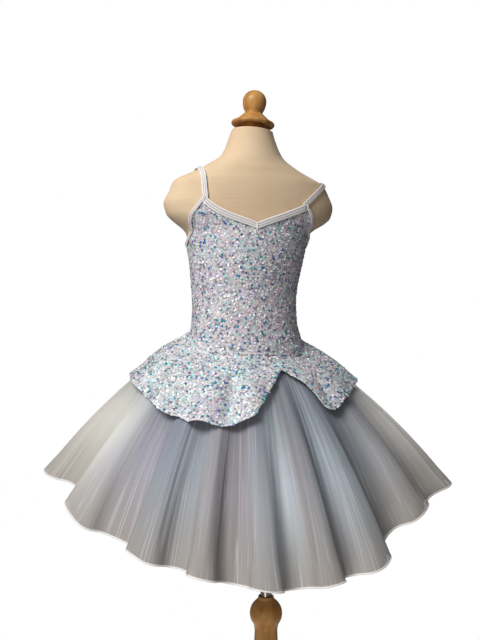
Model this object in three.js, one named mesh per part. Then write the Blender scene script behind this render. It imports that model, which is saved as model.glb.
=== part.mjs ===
// A child's sequin tutu dress on a child's dress form with a turned wood stand. Millimetres, +Z up.
// The front faces -Y, the wearer's left is +X, and the origin is the middle of the base's underside.
import * as THREE from "three";

// ---------------------------------------------------------------- driving dimensions
const BASE = { radius: 165, height: 26, edge: 7 };
const POLE = { radius: 10, foot: 324 };
const COLUMN = { foot: 34, collar: 44, waist: 21, ball: 30, ballHeight: 306, top: 338, socket: 12 };
const TORSO = { bottom: 694, top: 1203, segments: 40 };
const CAP = { x: -27, y: -3, tiltDegrees: 4.5, spigot: 30, rim: 40, rimHeight: 9, dome: 16 };
const KNOB = { radius: 21.7, stem: 14, middle: 44 };

const GAP = 0.35; // between neighbouring pieces
const FORM_CLEARANCE = 2.1; // between the form and the cloth on it
const SEQUIN_CLOTH = 1.4;
const TULLE = 1.0;
const ELASTIC = 1.2;

const SEAM = { side: 824, tilt: 6, frontDrop: 36, dropFrom: 105, dropTo: 40 };
// The neckline is worn turned a little to the right, where it also curls up more at the strap.
const NECKLINE = {
  front: 1020,
  frontRise: 43,
  curlRight: 0.4,
  curlLeft: 0.05,
  tilt: 5,
  strapAngle: 35,
  turn: -2,
};
const BACK_NECKLINE = { middle: 1000, rise: 28, strapAngle: 27 };
const BINDING = { neckWidth: 11, armholeWidth: 5.5, overhang: 1, clearance: 0.9 };
const STRAP = { width: 9, steps: 10 };
const SKIRT = {
  x: -41,
  y: 0,
  seamDrop: 9,
  lift: 8.3,
  bulge: 14,
  foldSteps: 7,
  foldRise: 0.25,
  meander: 0.0016,
};
const HEM_RADIUS = 1.3;
const HEM_SLACK = 0.15;
const PETAL = {
  topDrop: 1,
  knuckle: 7,
  knuckleDrop: 4.5,
  lift: 1.7,
  puff: 5,
  puffLength: 100,
  hemLift: 2,
  split: 12.5,
};

// ---------------------------------------------------------------- tables
// The torso's level sections: height, middle, half width and half depth.
const SECTIONS = [
  { z: 694, x: -12, y: 4, width: 88, depth: 66 },
  { z: 704, x: -15, y: 4, width: 102, depth: 78 },
  { z: 740, x: -24, y: 4, width: 112, depth: 85 },
  { z: 780, x: -34, y: 1, width: 109, depth: 83 },
  { z: 815, x: -40, y: -1, width: 101, depth: 78 },
  { z: 850, x: -42, y: -2, width: 94, depth: 74 },
  { z: 880, x: -42, y: -1, width: 93, depth: 73 },
  { z: 915, x: -41, y: 0, width: 96, depth: 74 },
  { z: 958, x: -38, y: 0, width: 103, depth: 75 },
  { z: 991, x: -37, y: 0, width: 110, depth: 73 },
  { z: 1008, x: -35, y: 0, width: 116, depth: 71 },
  { z: 1018, x: -34, y: 0, width: 126.5, depth: 70 },
  { z: 1029, x: -32, y: 0, width: 143.5, depth: 69 },
  { z: 1041, x: -31, y: 0, width: 156, depth: 68 },
  { z: 1060, x: -31, y: 0, width: 161, depth: 66 },
  { z: 1082, x: -30, y: 0, width: 152, depth: 64 },
  { z: 1102, x: -31, y: 0, width: 142, depth: 61 },
  { z: 1114, x: -31, y: 0, width: 119, depth: 58 },
  { z: 1125, x: -31, y: -1, width: 96, depth: 55 },
  { z: 1136, x: -31, y: -2, width: 77, depth: 51 },
  { z: 1147, x: -29, y: -3, width: 61, depth: 48 },
  { z: 1160, x: -28, y: -3, width: 52, depth: 45 },
  { z: 1180, x: -28, y: -3, width: 44, depth: 41 },
  { z: 1203, x: -27, y: -3, width: 36, depth: 37 },
];

// The bodice's top edge round each armhole: angle from the strap to the side seam, and height.
const FRONT_ARMHOLE = [
  { angle: 35, z: 1063 },
  { angle: 42, z: 1045 },
  { angle: 50, z: 1031 },
  { angle: 60, z: 1018 },
  { angle: 73, z: 1004 },
  { angle: 90, z: 988 },
];
const BACK_ARMHOLE = [
  { angle: 27, z: 1028 },
  { angle: 40, z: 1012 },
  { angle: 60, z: 998 },
  { angle: 90, z: 988 },
];

// Each strap: where it leaves the front, crosses the shoulder and meets the back.
const STRAPS = [
  { name: "strap_right", frontX: -126.7, topX: -129, topZ: 1123.9, backX: -98.3, frontZ: 1068.6 },
  { name: "strap_left", frontX: 56.9, topX: 109, topZ: 1103.8, backX: 34.1, frontZ: 1058.9 },
];

// Each petal's length down from the seam, by angle from the front towards the wearer's left.
const RIGHT_PETAL = [
  { angle: -180, length: 138 },
  { angle: -150, length: 142 },
  { angle: -120, length: 134 },
  { angle: -95, length: 132 },
  { angle: -79, length: 130 },
  { angle: -65, length: 135 },
  { angle: -55, length: 143 },
  { angle: -48, length: 139 },
  { angle: -41, length: 148 },
  { angle: -29, length: 149 },
  { angle: -18, length: 141 },
  { angle: -11, length: 133 },
  { angle: -6, length: 104 },
  { angle: 2, length: 68 },
  { angle: 8, length: 45 },
  { angle: 12.5, length: 31 },
];
const LEFT_PETAL = [
  { angle: 12.5, length: 31 },
  { angle: 18, length: 44 },
  { angle: 24, length: 61 },
  { angle: 29, length: 90 },
  { angle: 32.5, length: 116 },
  { angle: 36, length: 121 },
  { angle: 46, length: 111 },
  { angle: 58, length: 105 },
  { angle: 80, length: 117 },
  { angle: 110, length: 132 },
  { angle: 145, length: 140 },
  { angle: 180, length: 138 },
];
// The petals' flutes: where each crest stands, how far it stands out at the hem, and its half width.
const FLUTES = [
  { angle: -163, height: 9, spread: 13 },
  { angle: -138, height: 11, spread: 12 },
  { angle: -112, height: 8, spread: 13 },
  { angle: -84, height: 9, spread: 12 },
  { angle: -61, height: 12, spread: 11 },
  { angle: -36, height: 14, spread: 11 },
  { angle: -11, height: 13, spread: 11 },
  { angle: 26, height: 6, spread: 8 },
  { angle: 50, height: 12, spread: 11 },
  { angle: 80, height: 8, spread: 12 },
  { angle: 106, height: 11, spread: 12 },
  { angle: 132, height: 8, spread: 12 },
  { angle: 158, height: 11, spread: 13 },
];

// The skirt's hem all round: distance from its middle, and height.
const HEM = [
  { angle: -160, radius: 322, z: 494 },
  { angle: -130, radius: 348, z: 540 },
  { angle: -105, radius: 366, z: 582 },
  { angle: -88, radius: 350, z: 575 },
  { angle: -72, radius: 341, z: 543 },
  { angle: -64, radius: 338, z: 521 },
  { angle: -55, radius: 330, z: 510 },
  { angle: -48, radius: 319, z: 497 },
  { angle: -43, radius: 316, z: 486 },
  { angle: -36, radius: 316, z: 481 },
  { angle: -26, radius: 316, z: 471 },
  { angle: -15, radius: 316, z: 461 },
  { angle: -4, radius: 316, z: 453 },
  { angle: 6, radius: 316, z: 454 },
  { angle: 15, radius: 318, z: 460 },
  { angle: 22, radius: 320, z: 463 },
  { angle: 27, radius: 322, z: 469 },
  { angle: 33, radius: 323, z: 485 },
  { angle: 41, radius: 323, z: 506 },
  { angle: 54, radius: 331, z: 531 },
  { angle: 64, radius: 351, z: 544 },
  { angle: 76, radius: 381, z: 552 },
  { angle: 90, radius: 381, z: 560 },
  { angle: 105, radius: 366, z: 558 },
  { angle: 132, radius: 346, z: 524 },
  { angle: 160, radius: 322, z: 492 },
  { angle: 180, radius: 317, z: 486 },
];
// The tulle's folds: where each crest stands, and how deep the valley after it is at the hem.
const FOLDS = [
  { angle: -166, depth: 44 },
  { angle: -143, depth: 36 },
  { angle: -121, depth: 42 },
  { angle: -99, depth: 46 },
  { angle: -71, depth: 46 },
  { angle: -45, depth: 42 },
  { angle: -28, depth: 42 },
  { angle: -9, depth: 44 },
  { angle: 11, depth: 38 },
  { angle: 26, depth: 42 },
  { angle: 53, depth: 18 },
  { angle: 75, depth: 40 },
  { angle: 98, depth: 46 },
  { angle: 122, depth: 38 },
  { angle: 146, depth: 46 },
  { angle: 170, depth: 38 },
];
// The skirt's layers from the outside in: how far each lies inside the top one, at the waist and
// at the hem, how far down the skirt it reaches, and its rows.
const LAYERS = [
  { name: "tulle_top", color: 0xa9aeb8, inset: 0, insetAtHem: 0, reach: 1, rows: 5, hem: true },
  { name: "tulle_middle", color: 0xa79fa9, inset: 2, insetAtHem: 8, reach: 0.995, rows: 4, hem: true },
  { name: "tulle_under", color: 0x8f95a1, inset: 4, insetAtHem: 17, reach: 0.8, rows: 2, hem: false },
];

// ---------------------------------------------------------------- materials
const material = (color, roughness, metalness = 0) =>
  new THREE.MeshStandardMaterial({ color, roughness, metalness });
const LINEN = material(0xdcc6a6, 0.85);
const WOOD = material(0xa8743c, 0.4);
const STEEL = material(0x8d8581, 0.3, 1);
const SEQUINS = material(0xc6cbd0, 0.35);
const TRIM = material(0xeee8e4, 0.7);

// ---------------------------------------------------------------- small mathematics
const radians = THREE.MathUtils.degToRad;
const smoothstep = THREE.MathUtils.smoothstep;
const evenly = (count, from = 0, to = 1) =>
  Array.from({ length: count + 1 }, (_, i) => from + ((to - from) * i) / count);

// A smooth curve without overshoot through a table's rows: column key against column at.
function tableCurve(table, at, key, period = 0) {
  let rows = table.map((row) => [row[at], row[key]]);
  if (period) {
    const moved = (by) => rows.map(([x, y]) => [x + by, y]);
    rows = [...moved(-period).slice(-3), ...rows, ...moved(period).slice(0, 3)];
  }
  const last = rows.length - 1;
  const steps = rows.slice(1).map(([x, y], i) => (y - rows[i][1]) / (x - rows[i][0]));
  const slopes = rows.map((_, i) => {
    if (i === 0 || i === last) return i === 0 ? steps[0] : steps[last - 1];
    const [before, after] = [steps[i - 1], steps[i]];
    return before * after <= 0 ? 0 : (2 * before * after) / (before + after);
  });
  return (value) => {
    let x = value;
    if (period) x = THREE.MathUtils.euclideanModulo(value - table[0][at], period) + table[0][at];
    x = THREE.MathUtils.clamp(x, rows[0][0], rows[last][0]);
    let i = 0;
    while (i < last - 1 && x > rows[i + 1][0]) i++;
    const width = rows[i + 1][0] - rows[i][0];
    const t = (x - rows[i][0]) / width;
    const [p, q] = [rows[i][1], rows[i + 1][1]];
    return (
      p * (1 + 2 * t) * (1 - t) ** 2 +
      q * t * t * (3 - 2 * t) +
      width * (slopes[i] * t * (1 - t) ** 2 - slopes[i + 1] * t * t * (1 - t))
    );
  };
}

// ---------------------------------------------------------------- closed walls and tubes
function closedGeometry(points, triangles) {
  const volume = triangles.reduce((sum, [a, b, c]) => {
    return sum + points[a].dot(new THREE.Vector3().crossVectors(points[b], points[c]));
  }, 0);
  const facing = volume < 0 ? triangles.map(([a, b, c]) => [a, c, b]) : triangles;
  const geometry = new THREE.BufferGeometry().setFromPoints(points);
  geometry.setIndex(facing.flat());
  geometry.computeVertexNormals();
  return geometry;
}

// A closed wall of cloth. middle(u, v) gives its middle surface, u across the columns and v down the rows.
// around joins the last column to the first.
function clothWall(columns, rows, thickness, middle, around = false) {
  const [n, m] = [columns.length, rows.length];
  const grid = columns.map((u) => rows.map((v) => middle(u, v)));
  const at = (i, j) => {
    const column = around ? (i + n) % n : THREE.MathUtils.clamp(i, 0, n - 1);
    return grid[column][THREE.MathUtils.clamp(j, 0, m - 1)];
  };
  const [outer, inner] = [[], []];
  for (let i = 0; i < n; i++)
    for (let j = 0; j < m; j++) {
      const across = new THREE.Vector3().subVectors(at(i + 1, j), at(i - 1, j));
      const down = new THREE.Vector3().subVectors(at(i, j + 1), at(i, j - 1));
      const normal = down.cross(across).setLength(thickness / 2);
      outer.push(grid[i][j].clone().add(normal));
      inner.push(grid[i][j].clone().sub(normal));
    }
  const O = (i, j) => (i % n) * m + j;
  const I = (i, j) => n * m + O(i, j);
  const triangles = [];
  const quad = (a, b, c, d) => triangles.push([a, b, c], [a, c, d]);
  const lastColumn = around ? n : n - 1;
  for (let i = 0; i < lastColumn; i++) {
    for (let j = 0; j < m - 1; j++) {
      quad(O(i, j), O(i, j + 1), O(i + 1, j + 1), O(i + 1, j));
      quad(I(i, j), I(i + 1, j), I(i + 1, j + 1), I(i, j + 1));
    }
    quad(O(i, 0), O(i + 1, 0), I(i + 1, 0), I(i, 0));
    quad(O(i + 1, m - 1), O(i, m - 1), I(i, m - 1), I(i + 1, m - 1));
  }
  if (!around)
    for (let j = 0; j < m - 1; j++) {
      quad(O(0, j + 1), O(0, j), I(0, j), I(0, j + 1));
      quad(O(n - 1, j), O(n - 1, j + 1), I(n - 1, j + 1), I(n - 1, j));
    }
  return closedGeometry([...outer, ...inner], triangles);
}

// A closed loop of cord through the points, three-sided, with one side towards the cloth above it.
function hemLoop(points, radius) {
  const n = points.length;
  const corners = [];
  points.forEach((point, i) => {
    const along = points[(i + 1) % n].clone().sub(points[(i + n - 1) % n]).normalize();
    const side = new THREE.Vector3().crossVectors(along, new THREE.Vector3(0, 0, 1)).setLength(radius);
    const up = new THREE.Vector3().crossVectors(side, along).setLength(radius);
    const above = point.clone().addScaledVector(up, 0.6);
    corners.push(above.clone().add(side), above.clone().sub(side), point.clone().sub(up));
  });
  const triangles = [];
  for (let i = 0; i < n; i++)
    for (let k = 0; k < 3; k++) {
      const [a, b] = [i * 3 + k, i * 3 + ((k + 1) % 3)];
      const [c, d] = [((i + 1) % n) * 3 + k, ((i + 1) % n) * 3 + ((k + 1) % 3)];
      triangles.push([a, b, d], [a, d, c]);
    }
  return closedGeometry(corners, triangles);
}

// A turned piece: profile rows of [radius, height] from the axis at its foot to the axis at its top.
function turned(profile, segments) {
  const lathe = new THREE.LatheGeometry(profile.map(([r, z]) => new THREE.Vector2(r, z)), segments);
  return lathe.rotateX(Math.PI / 2);
}

// Points along an arc in a profile: middle, radius, and first and last angle from the horizontal.
const arc = (r, z, radius, from, to, steps) =>
  evenly(steps, radians(from), radians(to)).map((angle) => [
    r + radius * Math.cos(angle),
    z + radius * Math.sin(angle),
  ]);

// ---------------------------------------------------------------- the dress form's surface
const formX = tableCurve(SECTIONS, "z", "x");
const formY = tableCurve(SECTIONS, "z", "y");
const formWidth = tableCurve(SECTIONS, "z", "width");
const formDepth = tableCurve(SECTIONS, "z", "depth");

// 0 on the surface, more outside it.
function outside(p) {
  return Math.hypot((p.x - formX(p.z)) / formWidth(p.z), (p.y - formY(p.z)) / formDepth(p.z)) - 1;
}

function formSlope(p) {
  const step = 0.25;
  const slope = (axis) => {
    const [more, less] = [p.clone(), p.clone()];
    more[axis] += step;
    less[axis] -= step;
    return (outside(more) - outside(less)) / (2 * step);
  };
  return new THREE.Vector3(slope("x"), slope("y"), slope("z"));
}

// The point lift away from the form's surface, nearest to p.
function onForm(p, lift) {
  const q = p.clone();
  for (let i = 0; i < 4; i++) {
    const slope = formSlope(q);
    q.addScaledVector(slope, -outside(q) / slope.lengthSq());
  }
  return q.addScaledVector(formSlope(q).normalize(), lift);
}

// The form's surface at an angle from the front towards the wearer's left, and a height.
function formPoint(angle, z, lift = 0) {
  const x = formX(z) + formWidth(z) * Math.sin(radians(angle));
  const y = formY(z) - formDepth(z) * Math.cos(radians(angle));
  const p = new THREE.Vector3(x, y, z);
  return lift ? p.addScaledVector(formSlope(p).normalize(), lift) : p;
}

// ---------------------------------------------------------------- stand and dress form
function standBase() {
  const { radius, height, edge } = BASE;
  const top = COLUMN.foot - GAP;
  return turned(
    [
      [0, 0],
      [radius - 3, 0],
      [radius, 3],
      ...arc(radius - edge, height - edge, edge, 0, 90, 3),
      [58, height + 2],
      [52, top],
      [0, top],
    ],
    32,
  );
}

function standColumn() {
  const { foot, collar, waist, ball, ballHeight, top, socket } = COLUMN;
  return turned(
    [
      [0, foot],
      [collar, foot],
      [collar, foot + 8],
      [33, foot + 16],
      [28, foot + 30],
      [26, 110],
      [25, 170],
      [23, 230],
      [waist, 276],
      [waist + 1.5, 284],
      ...arc(0, ballHeight, ball, -38, 58, 6),
      [socket + 2, top],
      [socket, top - 1],
      [socket, POLE.foot - GAP],
      [0, POLE.foot - GAP],
    ],
    24,
  );
}

function pole() {
  const height = TORSO.bottom - GAP - POLE.foot;
  const cylinder = new THREE.CylinderGeometry(POLE.radius, POLE.radius, height, 20);
  return cylinder.rotateX(Math.PI / 2).translate(0, 0, POLE.foot + height / 2);
}

// The top of the neck slopes down towards the wearer's left, as its cap does.
const neckSlope = (z) => Math.tan(radians(CAP.tiltDegrees)) * smoothstep(z, 1130, TORSO.top);

function torso() {
  const heights = [
    694, 699, 712, 745, 775, 800, 820, 840, 860, 885, 915, 950, 980, 998, 1008, 1014, 1020, 1027, 1036,
    1050, 1068, 1088, 1102, 1113, 1124, 1136, 1150, 1175, 1203,
  ];
  const points = [];
  for (const z of heights)
    for (const angle of evenly(TORSO.segments, 0, 360).slice(0, -1)) {
      const p = formPoint(angle, z);
      points.push(p.setZ(z - neckSlope(z) * (p.x - formX(z))));
    }
  const middleAt = (z) => points.push(new THREE.Vector3(formX(z), formY(z), z)) - 1;
  const bottom = middleAt(TORSO.bottom);
  const top = middleAt(TORSO.top);
  const [n, last] = [TORSO.segments, (heights.length - 1) * TORSO.segments];
  const triangles = [];
  for (let k = 0; k < n; k++) {
    const next = (k + 1) % n;
    for (let j = 0; j < last; j += n) {
      const above = j + n;
      triangles.push([j + k, j + next, above + next], [j + k, above + next, above + k]);
    }
    triangles.push([bottom, next, k], [top, last + k, last + next]);
  }
  return closedGeometry(points, triangles);
}

// Heights in the cap are from the top of the neck.
function neckCap() {
  const { spigot, rim, rimHeight, dome } = CAP;
  const foot = GAP + 2.5;
  return turned(
    [
      [0, GAP],
      [spigot, GAP],
      [spigot, foot],
      [rim - 2, foot],
      [rim, foot + 3],
      [rim, foot + rimHeight - 2],
      [rim - 3, foot + rimHeight],
      [rim - 10, foot + 14],
      [dome + 6, foot + 20],
      [dome, foot + 25],
      [0, foot + 25],
    ],
    28,
  );
}

function capKnob() {
  const { radius, stem, middle } = KNOB;
  const foot = GAP + 2.5 + 25 + GAP;
  const centre = middle + foot - 22;
  return turned([[0, foot], [stem, foot], ...arc(0, centre, radius, -48, 85, 9), [0, centre + radius]], 24);
}

// ---------------------------------------------------------------- bodice
const frontArmhole = tableCurve(FRONT_ARMHOLE, "angle", "z");
const backArmhole = tableCurve(BACK_ARMHOLE, "angle", "z");

// Height of the waist seam, which dips at the front.
const seamHeight = (angle) => {
  const turn = Math.abs(THREE.MathUtils.euclideanModulo(angle + 180, 360) - 180);
  const side = SEAM.side - SEAM.tilt * Math.sin(radians(angle));
  return side - SEAM.frontDrop * (1 - smoothstep(turn, SEAM.dropTo, SEAM.dropFrom));
};

// Height of the front's top edge: a shallow V that rises steeply at the straps, then the armholes.
function frontTop(angle) {
  const { front, frontRise, tilt, strapAngle, turn, curlRight, curlLeft } = NECKLINE;
  const towardsMiddle = 1 - smoothstep(Math.abs(angle), 50, 85);
  const cut = angle - turn * towardsMiddle;
  const out = Math.sin(radians(Math.abs(cut))) / Math.sin(radians(strapAngle));
  const lean = -tilt * Math.sign(cut) * Math.min(out, 1) * towardsMiddle;
  const curl = cut < 0 ? curlRight : curlLeft;
  if (Math.abs(cut) <= strapAngle) return front + frontRise * ((1 - curl) * out + curl * out ** 5) + lean;
  return frontArmhole(Math.abs(cut)) + lean;
}

// Height of the back's top edge, by angle from the middle of the back.
function backTop(angle) {
  const { middle, rise, strapAngle } = BACK_NECKLINE;
  const out = Math.abs(angle) / strapAngle;
  return out <= 1 ? middle + rise * out ** 2 : backArmhole(Math.abs(angle));
}

const CLOTH_LIFT = FORM_CLEARANCE + SEQUIN_CLOTH / 2;
const BODICE_ROWS_UP = 1.5; // more rows near the top edge, where the form bends most
const SIDE_SEAM = 89.85;
const frontAngles = [
  -SIDE_SEAM, -81, -73, -66, -59, -52, -46, -40, -35, -28, -21, -14, -7, 0, 7, 14, 21, 28, 35, 40, 46,
  52, 59, 66, 73, 81, SIDE_SEAM,
].map((angle) => (Math.abs(angle) < 50 ? angle + NECKLINE.turn : angle));
const backAngles = [
  -SIDE_SEAM, -80, -70, -60, -50, -40, -33, -27, -18, -9, 0, 9, 18, 27, 33, 40, 50, 60, 70, 80, SIDE_SEAM,
];

function bodicePanel(angles, facing, topEdge) {
  return clothWall(angles, evenly(10), SEQUIN_CLOTH, (angle, v) => {
    const top = topEdge(angle);
    const z = top + (seamHeight(angle + facing) + GAP - top) * v ** BODICE_ROWS_UP;
    return formPoint(angle + facing, z, CLOTH_LIFT);
  });
}

// A strip of binding over a panel's edge: edge(angle) gives the height of the edge, and width runs
// from the edge over the cloth. Its two ends are mitred along the plumb line, so two strips meet at
// a corner.
function binding(angles, facing, edge, width) {
  const lift = FORM_CLEARANCE + SEQUIN_CLOTH + BINDING.clearance + ELASTIC / 2;
  const [first, last] = [angles[0], angles[angles.length - 1]];
  const edgePoint = (angle) => formPoint(angle + facing, edge(angle));
  return clothWall(angles, [0, 0.5, 1], ELASTIC, (angle, v) => {
    const p = edgePoint(angle);
    const inside = THREE.MathUtils.clamp(angle, first + 0.5, last - 0.5);
    const along = new THREE.Vector3().subVectors(edgePoint(inside + 0.5), edgePoint(inside - 0.5));
    const slope = formSlope(p).normalize();
    const down = new THREE.Vector3().crossVectors(slope, along).normalize();
    if (down.z > 0) down.negate();
    if (angle === first || angle === last) {
      const plumb = new THREE.Vector3(0, 0, -1).addScaledVector(slope, slope.z).normalize();
      down.copy(plumb.divideScalar(plumb.dot(down)));
    }
    return onForm(p.addScaledVector(down, v * width - BINDING.overhang), lift);
  });
}

const NECK_CORNER = 0.6; // degrees kept clear between the neck binding and the armhole's
const between = (angles, from, to) => [from, ...angles.filter((a) => a > from + 2 && a < to - 2), to];

// A strap lies on the form from the front's corner over the shoulder to the back's corner.
function strap({ frontX, topX, topZ, backX, frontZ }) {
  const backZ = backTop(BACK_NECKLINE.strapAngle) + GAP;
  const centre = (v) => {
    const front = v <= 0.5;
    const rise = Math.sin(Math.PI * Math.min(v, 1 - v)); // 0 at either end, 1 on the shoulder
    const [endX, endZ] = front ? [frontX, frontZ] : [backX, backZ];
    const z = endZ + (topZ - endZ) * rise;
    const x = endX + (topX - endX) * rise;
    const across = THREE.MathUtils.clamp((x - formX(z)) / formWidth(z), -1, 1);
    const depth = formDepth(z) * Math.sqrt(1 - across * across);
    return new THREE.Vector3(x, formY(z) + (front ? -depth : depth), z);
  };
  return clothWall([-0.5, 0, 0.5], evenly(2 * STRAP.steps), ELASTIC, (u, v) => {
    const p = centre(v);
    const [ahead, behind] = [centre(Math.min(v + 0.02, 1)), centre(Math.max(v - 0.02, 0))];
    const across = ahead.sub(behind).cross(formSlope(p)).normalize();
    return onForm(p.addScaledVector(across, u * STRAP.width), FORM_CLEARANCE + ELASTIC / 2);
  });
}

// ---------------------------------------------------------------- skirt
const hemRadius = tableCurve(HEM, "angle", "radius", 360);
const hemHeight = tableCurve(HEM, "angle", "z", 360);

// The smooth shape that the tulle's crests touch: angle round the skirt, t from the waist to the hem.
function skirtPoint(angle, t) {
  const waist = formPoint(angle, seamHeight(angle) - SKIRT.seamDrop, SKIRT.lift);
  const x = SKIRT.x + hemRadius(angle) * Math.sin(radians(angle));
  const y = SKIRT.y - hemRadius(angle) * Math.cos(radians(angle));
  const hem = new THREE.Vector3(x, y, hemHeight(angle));
  return waist.lerp(hem, t).addScaledVector(skirtOut(angle), SKIRT.bulge * 4 * t * (1 - t));
}

// The way out of the skirt's surface.
function skirtOut(angle) {
  const a = radians(angle);
  return new THREE.Vector3(Math.sin(a), -Math.cos(a), 0.95).normalize();
}

// How much of the folds' depth there is at t.
const folding = (t) => Math.max(t, 0) ** 1.25;

// The top layer's surface: turn counts folds round the skirt, and t runs from the waist to the hem.
function tullePoint(turn, t) {
  const fold = Math.floor(turn);
  const row = FOLDS[THREE.MathUtils.euclideanModulo(fold, FOLDS.length)];
  const next = FOLDS[THREE.MathUtils.euclideanModulo(fold + 1, FOLDS.length)];
  const pitch = THREE.MathUtils.euclideanModulo(next.angle - row.angle, 360);
  const s = turn - fold;
  const wander = row.depth * SKIRT.meander * Math.sin(4 * Math.PI * s) * folding(t); // deep folds turn back
  const angle = row.angle + pitch * (s + wander);
  const depth = (row.depth * (1 - Math.cos(2 * Math.PI * s))) / 2;
  const a = radians(angle);
  const out = new THREE.Vector3(Math.sin(a), -Math.cos(a), SKIRT.foldRise).normalize();
  return skirtPoint(angle, t).addScaledVector(out, -depth * folding(t));
}

// A layer's middle surface lies its inset inside the top layer's.
function tulleMiddle({ inset, insetAtHem, reach }) {
  const step = 0.01;
  return (turn, v) => {
    const t = v * reach;
    const across = tullePoint(turn + step, t).sub(tullePoint(turn - step, t));
    const down = tullePoint(turn, t + step).sub(tullePoint(turn, t - step));
    const out = down.cross(across).normalize();
    return tullePoint(turn, t).addScaledVector(out, -inset - (insetAtHem - inset) * folding(t));
  };
}

const skirtTurns = evenly(FOLDS.length * SKIRT.foldSteps, 0, FOLDS.length).slice(0, -1);

function tulleLayer(layer) {
  return clothWall(skirtTurns, evenly(layer.rows).map((v) => v ** 0.9), TULLE, tulleMiddle(layer), true);
}

// The corded hem runs just below the tulle's edge.
function tulleHem(layer) {
  const middle = tulleMiddle(layer);
  const edge = skirtTurns.map((turn) => middle(turn, 1));
  const points = edge.map((p, i) => {
    const along = edge[(i + 1) % edge.length].clone().sub(edge.at(i - 1)).normalize();
    const down = p.clone().sub(middle(skirtTurns[i], 0.97));
    down.addScaledVector(along, -down.dot(along)).setLength(HEM_RADIUS + GAP + HEM_SLACK);
    return p.clone().add(down);
  });
  return hemLoop(points, HEM_RADIUS);
}

// ---------------------------------------------------------------- peplum
const fluteHeight = (angle) =>
  FLUTES.reduce((sum, flute) => {
    const away = Math.min(Math.abs(angle - flute.angle) / flute.spread, 1);
    return sum + flute.height * Math.cos((away * Math.PI) / 2) ** 2;
  }, 0);

// How far a petal stands off the skirt: it puffs out below the seam, and its flutes grow towards its hem.
function petalLift(angle, along) {
  const puff = PETAL.puff * Math.sin(Math.PI * THREE.MathUtils.clamp(along / PETAL.puffLength, 0, 1));
  return PETAL.lift + puff + (PETAL.hemLift + fluteHeight(angle)) * (along / 150) ** 1.3;
}

// A petal hangs from the seam over the tulle.
function petal(table, angles) {
  const lengthAt = tableCurve(table, "angle", "length");
  return clothWall(angles, evenly(7), SEQUIN_CLOTH, (angle, v) => {
    const seam = seamHeight(angle);
    if (v === 0) return formPoint(angle, seam - PETAL.topDrop, CLOTH_LIFT);
    const along = ((v - 1 / 7) / (1 - 1 / 7)) * (lengthAt(angle) - PETAL.knuckle);
    if (along === 0) return formPoint(angle, seam - PETAL.knuckleDrop, SKIRT.lift + PETAL.lift);
    const slant = skirtPoint(angle, 0).distanceTo(skirtPoint(angle, 1));
    return skirtPoint(angle, along / slant).addScaledVector(skirtOut(angle), petalLift(angle, along));
  });
}

const PETAL_GAP = 0.12; // degrees kept clear at each end of a petal
const rightPetalAngles = [
  ...evenly(20, -180 + PETAL_GAP, -40),
  ...evenly(14, -36, PETAL.split - PETAL_GAP),
];
const leftPetalAngles = [
  ...evenly(13, PETAL.split + PETAL_GAP, 64),
  ...evenly(16, 70, 180 - PETAL_GAP),
];

// ---------------------------------------------------------------- assembly
const piece = (name, geometry, finish) => {
  const mesh = new THREE.Mesh(geometry, finish);
  mesh.name = name;
  return mesh;
};

const stand = new THREE.Group();
stand.add(
  piece("stand_base", standBase(), WOOD),
  piece("stand_column", standColumn(), WOOD),
  piece("stand_pole", pole(), STEEL),
);

const neckTop = new THREE.Group();
neckTop.position.set(CAP.x, CAP.y, TORSO.top);
neckTop.rotation.y = radians(CAP.tiltDegrees);
neckTop.add(piece("neck_cap", neckCap(), WOOD), piece("cap_knob", capKnob(), WOOD));

const form = new THREE.Group();
form.add(piece("form_torso", torso(), LINEN), neckTop);

const bodice = new THREE.Group();
bodice.add(
  piece("bodice_front", bodicePanel(frontAngles, 0, frontTop), SEQUINS),
  piece("bodice_back", bodicePanel(backAngles, 180, backTop), SEQUINS),
);
// Each binding runs between two of the panel's corners, and stops NECK_CORNER short of a strap's.
const rightCorner = NECKLINE.turn - NECKLINE.strapAngle;
const leftCorner = NECKLINE.turn + NECKLINE.strapAngle;
const backCorner = BACK_NECKLINE.strapAngle;
const addBinding = (name, angles, from, to, facing, edge, width) =>
  bodice.add(piece(name, binding(between(angles, from, to), facing, edge, width), TRIM));
const frontBinding = (name, from, to, width) =>
  addBinding(name, frontAngles, from, to, 0, frontTop, width);
const backBinding = (name, from, to) =>
  addBinding(name, backAngles, from, to, 180, backTop, BINDING.armholeWidth);
frontBinding("neck_binding_front", rightCorner + NECK_CORNER, leftCorner - NECK_CORNER, BINDING.neckWidth);
backBinding("neck_binding_back", -backCorner + NECK_CORNER, backCorner - NECK_CORNER);
frontBinding("armhole_binding_front_right", -SIDE_SEAM, rightCorner - NECK_CORNER, BINDING.armholeWidth);
frontBinding("armhole_binding_front_left", leftCorner + NECK_CORNER, SIDE_SEAM, BINDING.armholeWidth);
backBinding("armhole_binding_back_left", -SIDE_SEAM, -backCorner - NECK_CORNER);
backBinding("armhole_binding_back_right", backCorner + NECK_CORNER, SIDE_SEAM);
for (const row of STRAPS) bodice.add(piece(row.name, strap(row), TRIM));

const skirt = new THREE.Group();
skirt.add(
  piece("peplum_petal_right", petal(RIGHT_PETAL, rightPetalAngles), SEQUINS),
  piece("peplum_petal_left", petal(LEFT_PETAL, leftPetalAngles), SEQUINS),
);
for (const layer of LAYERS) {
  skirt.add(piece(layer.name, tulleLayer(layer), material(layer.color, 0.8)));
  if (layer.hem) skirt.add(piece(layer.name + "_hem", tulleHem(layer), TRIM));
}

const dressOnForm = new THREE.Group();
dressOnForm.add(stand, form, bodice, skirt);

export default dressOnForm;
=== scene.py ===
"""The looks of a child's sequin tutu dress on a dress form with a turned wood stand.

Tables and shaping functions are in millimetres. Meshes, sheets, lights and the camera are in metres.
The front faces -Y, the wearer's left is +X and +Z is up. Angles go round the dress from the middle of
the front, 0, to the wearer's left, 90.
"""

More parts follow.
